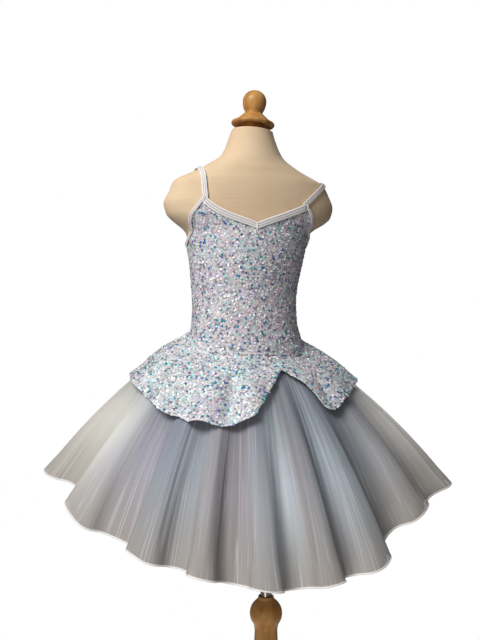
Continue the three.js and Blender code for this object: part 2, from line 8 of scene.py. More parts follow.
import math
import random
from functools import lru_cache

import bmesh
import bpy
from mathutils import Matrix, Vector, noise


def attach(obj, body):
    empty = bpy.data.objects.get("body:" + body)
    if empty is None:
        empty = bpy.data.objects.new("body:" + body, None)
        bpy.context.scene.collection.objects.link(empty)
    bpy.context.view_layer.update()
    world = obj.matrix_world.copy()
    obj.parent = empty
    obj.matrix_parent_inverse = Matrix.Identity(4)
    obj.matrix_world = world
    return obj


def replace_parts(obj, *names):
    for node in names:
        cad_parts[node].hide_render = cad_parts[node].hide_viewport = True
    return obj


MM = 0.001

# ------------------------------------------------------------------ cut and shape, in millimetres
GAP = 0.35
FORM_CLEARANCE = 2.1
SEQUIN_CLOTH = 1.4
ELASTIC = 1.2
CLOTH_LIFT = FORM_CLEARANCE + SEQUIN_CLOTH / 2
SIDE_SEAM = 89.85
SEAM_HEIGHT, SEAM_TILT, SEAM_FRONT_DROP, SEAM_DROP_TO, SEAM_DROP_FROM = 824, 6, 36, 40, 105

# The bodice's edges, their bindings and the straps.
STRAP_ANGLE_FRONT, STRAP_ANGLE_BACK = 35, 27
NECK_FRONT, NECK_FRONT_RISE, NECK_TILT = 1020, 43, 5
NECK_TURN, NECK_CURL_RIGHT, NECK_CURL_LEFT = -2, 0.4, 0.05
NECK_BACK, NECK_BACK_RISE = 1000, 28
NECK_BINDING_WIDTH, BINDING_WIDTH, BINDING_OVERHANG, BINDING_CLEARANCE = 11, 5.5, 1, 0.9
BINDING_LIFT = FORM_CLEARANCE + SEQUIN_CLOTH + BINDING_CLEARANCE + ELASTIC / 2
STRAP_WIDTH, STRAP_END = 9, 0.02
STRAP_LIFT = FORM_CLEARANCE + ELASTIC / 2
RIB_COUNT, RIB_HEIGHT, RIB_ROUNDING = 3, 0.3, 0.6
STRAP_ROWS, ELASTIC_COLUMNS = 64, 12
STITCH_WIDTH, STITCH_RISE, STITCH_LENGTH, STITCH_LIFT, STITCH_BEND = 0.9, 1.5, 14, 5, 6

# The skirt and its peplum.
SKIRT_MIDDLE = (-41, 0)
SKIRT_SEAM_DROP, SKIRT_LIFT, SKIRT_BULGE, SKIRT_OUT_RISE = 9, 8.3, 14, 0.95
FOLD_RISE, FOLD_TURN_BACK, FOLD_OPENING = 0.25, 0.0016, 1.25
GATHERS_BROAD, GATHERS_NARROW, GATHERS_BROAD_SHARE = 17, 31, 0.6
GATHERS_AT_WAIST, GATHERS_END = 0.35, 0.88
HEM_CORD_RADIUS, HEM_CORD_DROP = 1.4, 1.6
PETAL_TOP_DROP, PETAL_KNUCKLE_DROP, PETAL_KNUCKLE, PETAL_KNUCKLE_SHARE = 1, 4.5, 7, 0.05
PETAL_LIFT, PETAL_PUFF, PETAL_PUFF_LENGTH = 1.7, 5, 100
PETAL_HEM_LIFT, PETAL_HEM_LENGTH, PETAL_HEM_BEND = 2, 150, 1.3

# Level sections of the form: height, middle x and y, half width, half depth.
FORM_SECTIONS = [
    (694, -12, 4, 88, 66), (704, -15, 4, 102, 78), (740, -24, 4, 112, 85), (780, -34, 1, 109, 83),
    (815, -40, -1, 101, 78), (850, -42, -2, 94, 74), (880, -42, -1, 93, 73), (915, -41, 0, 96, 74),
    (958, -38, 0, 103, 75), (991, -37, 0, 110, 73), (1008, -35, 0, 116, 71), (1018, -34, 0, 126.5, 70),
    (1029, -32, 0, 143.5, 69), (1041, -31, 0, 156, 68), (1060, -31, 0, 161, 66), (1082, -30, 0, 152, 64),
    (1102, -31, 0, 142, 61), (1114, -31, 0, 119, 58), (1125, -31, -1, 96, 55), (1136, -31, -2, 77, 51),
    (1147, -29, -3, 61, 48), (1160, -28, -3, 52, 45), (1180, -28, -3, 44, 41), (1203, -27, -3, 36, 37),
]
# Top edge round the armholes: angle from the strap to the side seam, height.
FRONT_ARMHOLE = [
    (35, 1063), (42, 1045), (50, 1031), (60, 1018), (73, 1004), (90, 988),
]
BACK_ARMHOLE = [
    (27, 1028), (40, 1012), (60, 998), (90, 988),
]
# Straps: front x, x and height over the shoulder, back x, front height.
STRAPS = {"right": (-126.7, -129, 1123.9, -98.3, 1068.6), "left": (56.9, 109, 1103.8, 34.1, 1058.9)}
# Petals: angle, length down from the seam.
RIGHT_PETAL = [
    (-180, 138), (-150, 142), (-120, 134), (-95, 132), (-79, 130), (-65, 135), (-55, 143), (-48, 139),
    (-41, 148), (-29, 149), (-18, 141), (-11, 133), (-6, 104), (2, 68), (8, 45), (12.5, 31),
]
LEFT_PETAL = [
    (12.5, 31), (18, 44), (24, 61), (29, 90), (32.5, 116), (36, 121), (46, 111), (58, 105), (80, 117),
    (110, 132), (145, 140), (180, 138),
]
# Flutes of the petals: angle of the crest, height at the hem, half width.
FLUTES = [
    (-163, 9, 13), (-138, 11, 12), (-112, 8, 13), (-84, 9, 12), (-61, 12, 11), (-36, 14, 11),
    (-11, 13, 11), (26, 6, 8), (50, 12, 11), (80, 8, 12), (106, 11, 12), (132, 8, 12), (158, 11, 13),
]
# Creases pressed into the petals between their flutes: angle, where each starts below the seam, depth.
# Each deepens over the rise below its start, and is shallower at the hem.
PETAL_CREASES = [
    (-151, 50, 3.5), (-125, 60, 3), (-98, 45, 3.5), (-73, 60, 3), (-48.5, 45, 4.8), (-23.5, 20, 7.5),
    (38, 25, 4.2), (65, 45, 3.5), (93, 60, 3), (119, 45, 3.5), (145, 50, 3),
]
PETAL_CREASE_WIDTH, PETAL_CREASE_RISE, PETAL_CREASE_LOSS_AT_HEM = 3.0, 50, 0.8
# Hem of the skirt: angle, distance from the middle, height.
HEM = [
    (-160, 322, 494), (-130, 348, 540), (-105, 366, 582), (-88, 350, 575), (-72, 341, 543),
    (-64, 338, 521), (-55, 330, 510), (-48, 319, 497), (-43, 316, 486), (-36, 316, 481),
    (-26, 316, 471), (-15, 316, 461), (-4, 316, 453), (6, 316, 454), (15, 318, 460),
    (22, 320, 463), (27, 322, 469), (33, 323, 485), (41, 323, 506), (54, 331, 531),
    (64, 351, 544), (76, 381, 552), (90, 381, 560), (105, 366, 558), (132, 346, 524),
    (160, 322, 492), (180, 317, 486),
]
# Folds of the tulle: angle of the crest, depth of the valley after it.
FOLDS = [
    (-166, 44), (-143, 36), (-121, 42), (-99, 46), (-71, 46), (-45, 42), (-28, 42), (-9, 44), (11, 38),
    (26, 42), (53, 18), (75, 40), (98, 46), (122, 38), (146, 46), (170, 38),
]


def smooth_curve(rows, period=0):
    """A smooth curve without overshoot through rows of (at, value)."""
    if period:
        rows = (
            [(x - period, y) for x, y in rows[-3:]] + list(rows) + [(x + period, y) for x, y in rows[:3]]
        )
    last = len(rows) - 1
    steps = [(rows[i + 1][1] - rows[i][1]) / (rows[i + 1][0] - rows[i][0]) for i in range(last)]
    slopes = [steps[0]]
    for before, after in zip(steps, steps[1:]):
        slopes.append(0 if before * after <= 0 else 2 * before * after / (before + after))
    slopes.append(steps[-1])
    start = rows[3][0] if period else rows[0][0]

    def value(x):
        if period:
            x = (x - start) % period + start
        x = min(max(x, rows[0][0]), rows[last][0])
        i = 0
        while i < last - 1 and x > rows[i + 1][0]:
            i += 1
        width = rows[i + 1][0] - rows[i][0]
        t = (x - rows[i][0]) / width
        return (
            rows[i][1] * (1 + 2 * t) * (1 - t) ** 2
            + rows[i + 1][1] * t * t * (3 - 2 * t)
            + width * (slopes[i] * t * (1 - t) ** 2 - slopes[i + 1] * t * t * (1 - t))
        )

    return value


def column(rows, key):
    """One column of a table, as rows of (first column, that column)."""
    return [(row[0], row[key]) for row in rows]


def ease(x, low, high):
    """0 up to low and 1 from high, with a smooth rise between."""
    t = min(max((x - low) / (high - low), 0), 1)
    return t * t * (3 - 2 * t)


# ------------------------------------------------------------------ the form's surface
form_x = smooth_curve(column(FORM_SECTIONS, 1))
form_y = smooth_curve(column(FORM_SECTIONS, 2))
form_width = smooth_curve(column(FORM_SECTIONS, 3))
form_depth = smooth_curve(column(FORM_SECTIONS, 4))


def outside_form(p):
    """0 on the form's surface, above 0 outside it and below 0 inside."""
    return math.hypot((p.x - form_x(p.z)) / form_width(p.z), (p.y - form_y(p.z)) / form_depth(p.z)) - 1


def form_slope(p):
    """The steepest way out of the form at p."""
    step = 0.25
    slope = Vector()
    for axis in range(3):
        more, less = p.copy(), p.copy()
        more[axis] += step
        less[axis] -= step
        slope[axis] = (outside_form(more) - outside_form(less)) / (2 * step)
    return slope


def on_form(p, lift):
    """The place by p that is this far off the form's surface."""
    p = p.copy()
    for _ in range(4):
        slope = form_slope(p)
        p -= slope * (outside_form(p) / slope.length_squared)
    return p + form_slope(p).normalized() * lift


def form_point(angle, z, lift=0):
    """A place on the form, or this far off it."""
    a = math.radians(angle)
    p = Vector((form_x(z) + form_width(z) * math.sin(a), form_y(z) - form_depth(z) * math.cos(a), z))
    return p + form_slope(p).normalized() * lift if lift else p


# ------------------------------------------------------------------ edges of the bodice
front_armhole, back_armhole = smooth_curve(FRONT_ARMHOLE), smooth_curve(BACK_ARMHOLE)


def seam_height(angle):
    """Height of the seam between bodice and skirt, which drops at the front."""
    turn = abs((angle + 180) % 360 - 180)
    drop = SEAM_FRONT_DROP * (1 - ease(turn, SEAM_DROP_TO, SEAM_DROP_FROM))
    return SEAM_HEIGHT - SEAM_TILT * math.sin(math.radians(angle)) - drop


def front_top(angle):
    """Height of the front's top edge. The neckline is worn turned a little to the right."""
    towards_middle = 1 - ease(abs(angle), 50, 85)
    cut = angle - NECK_TURN * towards_middle
    out = math.sin(math.radians(abs(cut))) / math.sin(math.radians(STRAP_ANGLE_FRONT))
    lean = -NECK_TILT * math.copysign(min(out, 1), cut) * towards_middle
    curl = NECK_CURL_RIGHT if cut < 0 else NECK_CURL_LEFT
    if abs(cut) <= STRAP_ANGLE_FRONT:
        return NECK_FRONT + NECK_FRONT_RISE * ((1 - curl) * out + curl * out**5) + lean
    return front_armhole(abs(cut)) + lean


def back_top(angle):
    """Height of the back's top edge, at an angle from the middle of the back."""
    out = abs(angle) / STRAP_ANGLE_BACK
    return NECK_BACK + NECK_BACK_RISE * out**2 if out <= 1 else back_armhole(abs(angle))


# ------------------------------------------------------------------ the skirt's surface
hem_radius = smooth_curve(column(HEM, 1), 360)
hem_height = smooth_curve(column(HEM, 2), 360)


def skirt_out(angle):
    """The way out of the skirt, about square to its slope."""
    a = math.radians(angle)
    return Vector((math.sin(a), -math.cos(a), SKIRT_OUT_RISE)).normalized()


@lru_cache(None)
def skirt_ends(tenths):
    """The skirt's waist and hem at an angle in tenths of a degree."""
    angle = tenths / 10
    a = math.radians(angle)
    waist = form_point(angle, seam_height(angle) - SKIRT_SEAM_DROP, SKIRT_LIFT)
    radius = hem_radius(angle)
    x, y = SKIRT_MIDDLE[0] + radius * math.sin(a), SKIRT_MIDDLE[1] - radius * math.cos(a)
    return waist, Vector((x, y, hem_height(angle)))


def skirt_point(angle, t):
    """A place on the skirt as it hangs without folds, from the waist at t = 0 to the hem at t = 1."""
    tenths = math.floor(angle * 10)
    part = angle * 10 - tenths
    (waist, hem), (next_waist, next_hem) = skirt_ends(tenths), skirt_ends(tenths + 1)
    p = waist.lerp(next_waist, part).lerp(hem.lerp(next_hem, part), t)
    return p + skirt_out(angle) * (SKIRT_BULGE * 4 * t * (1 - t))


def folding(t):
    """How far the folds have opened, from the waist at t = 0 to the hem at t = 1."""
    return max(t, 0) ** FOLD_OPENING


def tulle_point(turn, t):
    """A place on the folded tulle. Each whole turn is the crest of a fold."""
    fold = math.floor(turn)
    angle, depth = FOLDS[fold % len(FOLDS)]
    pitch = (FOLDS[(fold + 1) % len(FOLDS)][0] - angle) % 360
    s = turn - fold
    angle += pitch * (s + depth * FOLD_TURN_BACK * math.sin(4 * math.pi * s) * folding(t))
    a = math.radians(angle)
    inward = Vector((math.sin(a), -math.cos(a), FOLD_RISE)).normalized()
    return skirt_point(angle, t) - inward * (depth * (1 - math.cos(2 * math.pi * s)) / 2 * folding(t))


# ------------------------------------------------------------------ finishes
class Finish:
    """A procedural material, built from its shader outwards."""

    def __init__(self, name, **sockets):
        self.material = bpy.data.materials.new(name)
        self.material.use_nodes = True
        self.nodes, self.links = self.material.node_tree.nodes, self.material.node_tree.links
        self.shader = self.nodes["Principled BSDF"]
        for socket, value in sockets.items():
            self.shader.inputs[socket.replace("_", " ")].default_value = value
        self.coordinates = self.nodes.new("ShaderNodeTexCoord")

    def place(self, scale, source="Object"):
        mapping = self.nodes.new("ShaderNodeMapping")
        mapping.inputs["Scale"].default_value = scale
        self.links.new(self.coordinates.outputs[source], mapping.inputs["Vector"])
        return mapping.outputs["Vector"]

    def noise(self, where, scale, detail=3.0, roughness=0.5, distortion=0.0):
        node = self.nodes.new("ShaderNodeTexNoise")
        self.links.new(where, node.inputs["Vector"])
        for socket, value in (
            ("Scale", scale), ("Detail", detail), ("Roughness", roughness), ("Distortion", distortion),
        ):
            node.inputs[socket].default_value = value
        return node.outputs["Fac"]

    def wave(self, where, scale, direction, distortion=0.0, detail=2.0, detail_scale=1.0):
        node = self.nodes.new("ShaderNodeTexWave")
        node.wave_type, node.bands_direction = "BANDS", direction
        self.links.new(where, node.inputs["Vector"])
        for socket, value in (
            ("Scale", scale), ("Distortion", distortion),
            ("Detail", detail), ("Detail Scale", detail_scale),
        ):
            node.inputs[socket].default_value = value
        return node.outputs["Fac"]

    def ramp(self, factor, stops, socket=None):
        node = self.nodes.new("ShaderNodeValToRGB")
        self.links.new(factor, node.inputs["Fac"])
        elements = node.color_ramp.elements
        while len(elements) < len(stops):
            elements.new(0.5)
        for element, (position, colour) in zip(elements, stops):
            element.position = position
            element.color = (*colour, 1) if len(colour) == 3 else (colour[0],) * 3 + (1,)
        if socket:
            self.links.new(node.outputs["Color"], self.shader.inputs[socket])
        return node.outputs["Color"]

    def up(self):
        """0 at the lower edge of a cut piece of cloth and 1 at its upper edge."""
        split = self.nodes.new("ShaderNodeSeparateXYZ")
        self.links.new(self.coordinates.outputs["UV"], split.inputs["Vector"])
        return split.outputs["Y"]

    def blend(self, factor, a, b, socket=None):
        node = self.nodes.new("ShaderNodeMix")
        node.data_type = "RGBA"
        self.links.new(factor, node.inputs["Factor"])
        for name, value in (("A", a), ("B", b)):
            place = next(i for i in node.inputs if i.name == name and i.type == "RGBA")
            if isinstance(value, tuple):
                place.default_value = (*value, 1)
            else:
                self.links.new(value, place)
        result = next(o for o in node.outputs if o.type == "RGBA")
        if socket:
            self.links.new(result, self.shader.inputs[socket])
        return result

    def combine(self, operation, a, b):
        node = self.nodes.new("ShaderNodeMath")
        node.operation = operation
        for i, value in enumerate((a, b)):
            if isinstance(value, (int, float)):
                node.inputs[i].default_value = value
            else:
                self.links.new(value, node.inputs[i])
        return node.outputs["Value"]

    def bump(self, height, strength, distance):
        node = self.nodes.new("ShaderNodeBump")
        node.inputs["Strength"].default_value = strength
        node.inputs["Distance"].default_value = distance
        self.links.new(height, node.inputs["Height"])
        self.links.new(node.outputs["Normal"], self.shader.inputs["Normal"])


def linen_finish():
    linen = Finish("cream_linen", Roughness=0.9, Sheen_Weight=0.15, Sheen_Roughness=0.5)
    mottle = linen.noise(linen.place((1, 1, 1)), 14, 5, 0.6)
    base = linen.ramp(
        mottle,
        [(0.3, (0.73, 0.535, 0.345)), (0.55, (0.78, 0.59, 0.39)), (0.8, (0.81, 0.625, 0.425))],
    )
    slubs = linen.noise(linen.place((9, 9, 420)), 1, 3, 0.6)
    thick_threads = linen.ramp(slubs, [(0.58, (0.0,)), (0.72, (0.35,))])
    linen.blend(thick_threads, base, (0.62, 0.44, 0.27), "Base Color")
    across = linen.wave(linen.place((1, 1, 1)), 420, "Z", 1.5, 2, 3)
    linen.bump(linen.combine("ADD", across, slubs), 0.2, 0.0004)
    return linen.material


def wood_finish():
    wood = Finish("honey_wood", Coat_Weight=0.12, Coat_Roughness=0.2, Specular_IOR_Level=0.3)
    grain = wood.noise(wood.place((14, 14, 2.2)), 5, 5, 0.55, 0.5)
    wood.ramp(
        grain,
        [(0.3, (0.36, 0.155, 0.03)), (0.5, (0.52, 0.25, 0.065)), (0.7, (0.64, 0.34, 0.11))],
        "Base Color",
    )
    pores = wood.noise(wood.place((160, 160, 12)), 5, 3, 0.6)
    wood.ramp(pores, [(0.3, (0.46,)), (0.7, (0.34,))], "Roughness")
    wood.bump(pores, 0.1, 0.0003)
    return wood.material


def steel_finish():
    steel = Finish("drawn_steel", Metallic=1.0)
    steel.shader.inputs["Base Color"].default_value = (0.56, 0.52, 0.50, 1)
    drawn = steel.noise(steel.place((220, 220, 3)), 4, 4, 0.6)
    steel.ramp(drawn, [(0.3, (0.24,)), (0.7, (0.42,))], "Roughness")
    steel.bump(drawn, 0.1, 0.0002)
    return steel.material


def elastic_finish():
    elastic = Finish("white_elastic", Roughness=0.62, Sheen_Weight=0.4, Sheen_Roughness=0.35)
    bright, dull, middle = (0.98, 0.965, 0.955), (0.60, 0.56, 0.58), (0.90, 0.86, 0.87)
    stripes = [
        (0.0, bright), (0.15, bright), (0.23, dull), (0.37, dull), (0.45, middle),
        (0.55, middle), (0.63, dull), (0.77, dull), (0.85, bright), (1.0, bright),
    ]
    elastic.ramp(elastic.up(), stripes, "Base Color")
    weave = elastic.noise(elastic.place((1, 1, 1)), 1400, 2)
    elastic.bump(weave, 0.3, 0.0003)
    return elastic.material


def thread_finish():
    thread = Finish("white_thread", Roughness=0.5, Sheen_Weight=0.3)
    shade = thread.noise(thread.place((1, 1, 1)), 900, 2)
    thread.ramp(shade, [(0.3, (0.88, 0.85, 0.82)), (0.7, (0.97, 0.95, 0.93))], "Base Color")
    return thread.material


def net_ground_finish():
    ground = Finish("stretch_net", Roughness=0.55, Sheen_Weight=0.3, Sheen_Roughness=0.4)
    shade = ground.noise(ground.place((1, 1, 1)), 190, 4, 0.6)
    # The darker flecks are partly painted shade for the gaps between the sequins.
    flecks_and_gap_shade = ground.ramp(
        shade,
        [(0.36, (0.22, 0.21, 0.26)), (0.46, (0.54, 0.53, 0.56)), (0.7, (0.80, 0.79, 0.80))],
    )
    edge = ground.ramp(ground.up(), [(0.0, (1.0,)), (0.012, (1.0,)), (0.02, (0.0,))])
    ground.blend(edge, flecks_and_gap_shade, (0.92, 0.91, 0.92), "Base Color")
    mesh = ground.noise(ground.place((1, 1, 1)), 1300, 2)
    ground.bump(mesh, 0.4, 0.0005)
    return ground.material


# Sequins: name, colour, metallic, roughness, film thickness in nanometres, share.
SEQUIN_TINTS = [
    ("pearl", (0.96, 0.95, 0.98), 0.0, 0.35, 420, 32),
    ("frost", (0.68, 0.86, 0.95), 0.05, 0.35, 520, 16),
    ("lilac", (0.82, 0.68, 0.95), 0.05, 0.35, 380, 13),
    ("blush", (0.98, 0.75, 0.80), 0.05, 0.35, 560, 14),
    ("mint", (0.45, 0.88, 0.86), 0.05, 0.35, 600, 9),
    # Dark sequins, partly painted shade for the gaps between the sequins.
    ("smoke", (0.27, 0.24, 0.31), 0.1, 0.4, 300, 5),
    ("teal", (0.0, 0.34, 0.40), 0.1, 0.3, 480, 10),
    ("azure", (0.02, 0.19, 0.50), 0.1, 0.3, 340, 6),
    ("violet", (0.18, 0.11, 0.42), 0.1, 0.3, 300, 4),
]
# The shares of these tints swing between patches of the cloth, and from panel to panel.
DEEP_TINTS = ("teal", "azure", "violet")
WARM_TINTS = ("lilac", "blush", "smoke")
COOL_TINTS = ("frost", "mint")
SEQUIN_COAT, SEQUIN_COAT_ROUGHNESS, SEQUIN_FILM_IOR = 0.2, 0.12, 1.6


def sequin_finishes():
    """One finish for each tint, in the table's order."""
    finishes = []
    for name, colour, metallic, roughness, film, _ in SEQUIN_TINTS:
        tint = Finish("sequin_" + name, Metallic=metallic, Roughness=roughness)
        for socket, value in (
            ("Base Color", (*colour, 1)),
            ("Coat Weight", SEQUIN_COAT),
            ("Coat Roughness", SEQUIN_COAT_ROUGHNESS),
            ("Thin Film Thickness", film),
            ("Thin Film IOR", SEQUIN_FILM_IOR),
        ):
            tint.shader.inputs[socket].default_value = value
        finishes.append(tint.material)
    return finishes


# Tints of the skirt's broad folds: how far round the skirt, which starts close to the middle of the
# back and goes by the wearer's right, the front and the wearer's left, and colour. Some stops are partly
# painted light: the pale blue at 0.453 brightens a shaded valley, and the pale stop at 0.67 brightens the
# flap on the shaded side.
FOLD_TINTS_AND_PAINTED_LIGHT = [
    (0.0, (0.42, 0.45, 0.53)), (0.1, (0.45, 0.44, 0.51)), (0.18, (0.68, 0.66, 0.60)),
    (0.25, (0.82, 0.83, 0.81)), (0.274, (0.37, 0.37, 0.45)), (0.32, (0.33, 0.38, 0.45)),
    (0.36, (0.42, 0.44, 0.48)), (0.41, (0.36, 0.335, 0.375)), (0.432, (0.42, 0.44, 0.50)),
    (0.453, (0.74, 0.84, 0.92)), (0.478, (0.33, 0.315, 0.34)), (0.545, (0.44, 0.50, 0.57)),
    (0.6, (0.31, 0.33, 0.38)), (0.67, (0.92, 0.90, 0.86)), (0.76, (0.46, 0.46, 0.52)),
    (0.88, (0.40, 0.46, 0.52)), (1.0, (0.42, 0.45, 0.53)),
]
# Each layer of tulle: lowest and highest cover, and how far above its edge its cover fades in.
TULLES = {"top": ((0.5, 0.72), 0), "middle": ((0.6, 0.8), 0), "under": ((0.8, 0.92), 0.45)}
HEM_COVER = 0.9
# A warm tone near the hem, painted shade under the peplum and the pale of painted crease highlights.
HEM_TINT, PAINTED_SHADE_UNDER_PEPLUM, PAINTED_CREASE_HIGHLIGHT = (0.38, 0.345, 0.31), (0.24, 0.28, 0.36), (0.80, 0.80, 0.83)
# Painted highlights along the creases down the tulle: each is a narrow peak in a noise, with its
# strength.
NARROW_CREASE_HIGHLIGHTS = [
    (0.4, (0.0,)), (0.41, (0.3,)), (0.42, (0.0,)), (0.57, (0.0,)), (0.585, (0.5,)), (0.6, (0.0,)),
]
FINE_CREASE_HIGHLIGHTS = [(0.55, (0.0,)), (0.565, (0.35,)), (0.58, (0.0,))]


def tulle_finish(name):
    """Sheer tulle whose tint and cover follow the folds, with painted light in some fold tints, painted
    shade under the peplum and painted highlights along pale crease lines.
    """
    (thin, full), fade = TULLES[name]
    tulle = Finish("tulle_" + name, Roughness=0.95, Specular_IOR_Level=0.1)
    seed = 2.5 + list(TULLES).index(name)
    broad = tulle.noise(tulle.place((9, 0.2, 1), "UV"), seed, 2, 0.5)
    round_skirt = tulle.nodes.new("ShaderNodeSeparateXYZ")
    tulle.links.new(tulle.coordinates.outputs["UV"], round_skirt.inputs["Vector"])
    drift = tulle.combine("MULTIPLY", tulle.combine("SUBTRACT", broad, 0.5), 0.07)
    # Fold tints, partly painted light that brightens shaded folds.
    folds = tulle.ramp(tulle.combine("ADD", round_skirt.outputs["X"], drift), FOLD_TINTS_AND_PAINTED_LIGHT)
    warm = tulle.blend(tulle.ramp(tulle.up(), [(0.0, (0.8,)), (0.4, (0.0,))]), folds, HEM_TINT)
    # Painted shade under the peplum, darker and bluer towards the waist.
    tint_with_painted_light = tulle.blend(tulle.ramp(tulle.up(), [(0.5, (0.0,)), (0.72, (0.4,))]), warm, PAINTED_SHADE_UNDER_PEPLUM)
    narrow = tulle.noise(tulle.place((34, 0.1, 1), "UV"), seed, 3, 0.6)
    fine = tulle.noise(tulle.place((95, 0.15, 1), "UV"), seed + 4, 2, 0.5)
    # Painted highlights: pale lines where either crease noise peaks.
    narrow_crease_light, fine_crease_light = tulle.ramp(narrow, NARROW_CREASE_HIGHLIGHTS), tulle.ramp(fine, FINE_CREASE_HIGHLIGHTS)
    creases = tulle.combine("MAXIMUM", narrow_crease_light, fine_crease_light)
    tulle.blend(creases, tint_with_painted_light, PAINTED_CREASE_HIGHLIGHT, "Base Color")
    near_hem = tulle.ramp(tulle.up(), [(0.3, (1.0,)), (0.75, (0.0,))])
    fold_cover = tulle.ramp(broad, [(0.3, (thin,)), (0.7, (full,))])
    cover = tulle.blend(near_hem, fold_cover, (HEM_COVER,) * 3)
    if fade:
        cover = tulle.combine("MULTIPLY", cover, tulle.ramp(tulle.up(), [(0.0, (0.0,)), (fade, (1.0,))]))
    tulle.links.new(cover, tulle.shader.inputs["Alpha"])
    tulle.bump(narrow, 0.25, 0.002)
    return tulle.material


# ------------------------------------------------------------------ making pieces
def finished(name, shape, slot, *materials, smooth=True):
    """Turns a bmesh into a piece that rides on the dress."""
    mesh = bpy.data.meshes.new(name)
    for face in shape.faces:
        face.smooth = smooth
    shape.to_mesh(mesh)
    shape.free()
    for material in materials:
        mesh.materials.append(material)
    piece = bpy.data.objects.new(name, mesh)
    bpy.context.scene.collection.objects.link(piece)
    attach(piece, "root")
    return piece


def cloth(columns, rows, place, closed=False):
    """A grid of cloth: place(u, v) puts each corner, u across from 0 to 1 and v down from 0 to 1."""
    shape = bmesh.new()
    shape.loops.layers.uv.new("cut")
    bmesh.ops.create_grid(shape, x_segments=columns, y_segments=rows, size=0.5, calc_uvs=True)
    for corner in shape.verts:
        corner.co = place(corner.co.x + 0.5, 0.5 - corner.co.y) * MM
    if closed:
        bmesh.ops.remove_doubles(shape, verts=shape.verts, dist=1e-6)
    shape.normal_update()
    return shape


def thicken(piece, thickness):
    """Gives a piece of cloth its thickness, half to either side."""
    solidify = piece.modifiers.new("thickness", "SOLIDIFY")
    solidify.thickness = thickness * MM
    solidify.offset = 0


# ------------------------------------------------------------------ sequins
SEQUIN_RADIUS, SEQUIN_SPACING = 2.4, 3.4
SEQUIN_TRIES = 2.6
SEQUIN_TILT, SEQUIN_LIFT = 0.34, (0.5, 1.3)
# How often the shares of the deep and the warm tints swing along a metre of cloth.
DEEP_PATCHES, WARM_PATCHES = 36, 17
DEEP_SWING, LEAST_SHARE = 3.4, 0.2


def sequin_spots(shape, rng):
    """Places on the cloth, no two closer than the spacing: (point, normal)."""
    faces = [(face.calc_area(), face) for face in shape.faces]
    wanted = int(sum(area for area, _ in faces) / (MM * SEQUIN_SPACING) ** 2 * SEQUIN_TRIES)
    picks = rng.choices([face for _, face in faces], [area for area, _ in faces], k=wanted)
    cell = SEQUIN_SPACING * MM
    taken, spots = {}, []
    for face in picks:
        a, b, c, d = (corner.co for corner in face.verts)
        u, v = rng.random(), rng.random()
        p = a.lerp(b, u).lerp(d.lerp(c, u), v)
        home = tuple(math.floor(x / cell) for x in p)
        near = (
            q
            for i in (-1, 0, 1)
            for j in (-1, 0, 1)
            for k in (-1, 0, 1)
            for q in taken.get((home[0] + i, home[1] + j, home[2] + k), ())
        )
        if all((p - q).length_squared > cell * cell for q in near):
            taken.setdefault(home, []).append(p)
            spots.append((p, face.normal.copy()))
    return spots


def tint_shares(point, warmth):
    """The share of each tint at a place on the cloth, where warmth is above 0 on warmer panels."""
    deep = DEEP_SWING * (noise.noise(point * DEEP_PATCHES) * 0.5 + 0.5) ** 2
    warm = noise.noise(point * WARM_PATCHES) + warmth
    shares = []
    for name, *_, share in SEQUIN_TINTS:
        if name in DEEP_TINTS:
            share *= deep
        elif name in WARM_TINTS:
            share *= max(1 + warm, LEAST_SHARE)
        elif name in COOL_TINTS:
            share *= max(1 - warm, LEAST_SHARE)
        shares.append(share)
    return shares


def sequins(name, spots, warmth, finishes, rng):
    """A piece of small round sequins, each a little tilted, sewn at the spots."""
    disc = bmesh.new()
    bmesh.ops.create_circle(disc, cap_ends=True, segments=6, radius=SEQUIN_RADIUS * MM)
    pattern = bpy.data.meshes.new("sequin")
    disc.to_mesh(pattern)
    disc.free()
    kinds = []
    sewn = bmesh.new()
    for point, normal in spots:
        wobble = Vector([rng.uniform(-1, 1) for _ in range(3)]) * SEQUIN_TILT
        facing = (normal + wobble).normalized()
        lift = normal * (MM * rng.uniform(*SEQUIN_LIFT))
        place = Matrix.Translation(point + lift) @ facing.to_track_quat("Z", "X").to_matrix().to_4x4()
        place @= Matrix.Rotation(rng.uniform(0, math.tau), 4, "Z")
        pattern.transform(place)
        sewn.from_mesh(pattern)
        pattern.transform(place.inverted())
        kinds.append(rng.choices(range(len(SEQUIN_TINTS)), tint_shares(point, warmth))[0])
    for face, kind in zip(sewn.faces, kinds):
        face.material_index = kind
    return finished(name, sewn, "sequin_cloth", *finishes, smooth=False)


# ------------------------------------------------------------------ stand and dress form
def arc(radius, height, reach, rise, start, end, steps):
    """Part of an ellipse in a profile, about (radius, height), between two angles in degrees."""
    angles = (math.radians(start + (end - start) * i / steps) for i in range(steps + 1))
    return [(radius + reach * math.cos(a), height + rise * math.sin(a)) for a in angles]


# Profiles: rows of (radius, height), from the middle of a turned piece's foot to the middle of its top.
BASE_PROFILE = [
    (0, 0), (162, 0), (165, 3), *arc(158, 19, 7, 7, 0, 90, 8), (58, 28), (52, 33.65), (0, 33.65),
]
COLUMN_PROFILE = [
    (0, 34), (44, 34), (44, 42), (33, 50), (28, 64), (26, 110), (25, 170), (23, 230), (21, 276),
    (22.5, 284), *arc(0, 306, 30, 30, -38, 58, 20), (14, 338), (12, 337), (12, 323.65), (0, 323.65),
]
POLE_PROFILE = [(0, 324), (10, 324), (10, 693.65), (0, 693.65)]
